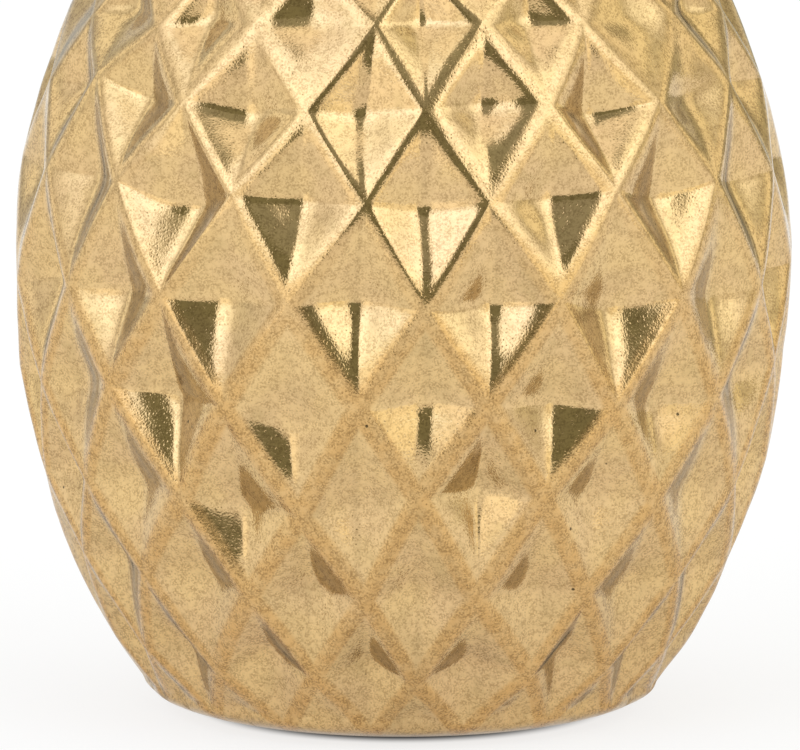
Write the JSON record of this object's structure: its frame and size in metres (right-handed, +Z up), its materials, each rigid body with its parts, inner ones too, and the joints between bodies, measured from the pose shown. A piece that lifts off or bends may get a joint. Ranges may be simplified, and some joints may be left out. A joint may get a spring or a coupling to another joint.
{
  "type": "pineapple figurine",
  "caption": "Free-standing pineapple ornament in gold-finished ceramic, with a faceted diamond-net body and a crown of pointed leaves.",
  "frame": {"origin": "centre of the bounding box's bottom face, on the standing surface under the middle of the body", "axes": "+Z up along the pineapple's axis, -Y towards the front"},
  "size_m": [0.139, 0.1398, 0.2811],
  "materials": {
    "gold_glaze": "gold lustre over a glossy glaze, lightly speckled",
    "pad_felt": "dark brown pressed felt"
  },
  "bodies": {
    "root": {"body_shell": "gold_glaze", "foot_pad_1": "pad_felt", "foot_pad_2": "pad_felt", "foot_pad_3": "pad_felt", "foot_pad_4": "pad_felt", "crown_stub": "gold_glaze", "leaf_tier1_1": "gold_glaze", "leaf_tier1_2": "gold_glaze", "leaf_tier1_3": "gold_glaze", "leaf_tier1_4": "gold_glaze", "leaf_tier1_5": "gold_glaze", "leaf_tier1_6": "gold_glaze", "leaf_tier1_7": "gold_glaze", "leaf_tier1_8": "gold_glaze", "leaf_tier1_9": "gold_glaze", "leaf_tier2_1": "gold_glaze", "leaf_tier2_2": "gold_glaze", "leaf_tier2_3": "gold_glaze", "leaf_tier2_4": "gold_glaze", "leaf_tier2_5": "gold_glaze", "leaf_tier2_6": "gold_glaze", "leaf_tier2_7": "gold_glaze", "leaf_tier2_8": "gold_glaze", "leaf_tier3_1": "gold_glaze", "leaf_tier3_2": "gold_glaze", "leaf_tier3_3": "gold_glaze", "leaf_tier3_4": "gold_glaze", "leaf_tier3_5": "gold_glaze", "leaf_tier3_6": "gold_glaze", "leaf_tier3_7": "gold_glaze", "leaf_tier4_1": "gold_glaze", "leaf_tier4_2": "gold_glaze", "leaf_tier4_3": "gold_glaze", "leaf_tier4_4": "gold_glaze", "leaf_tier4_5": "gold_glaze", "leaf_tier5_1": "gold_glaze", "leaf_tier5_2": "gold_glaze", "leaf_tier5_3": "gold_glaze"}
  },
  "joints": []
}
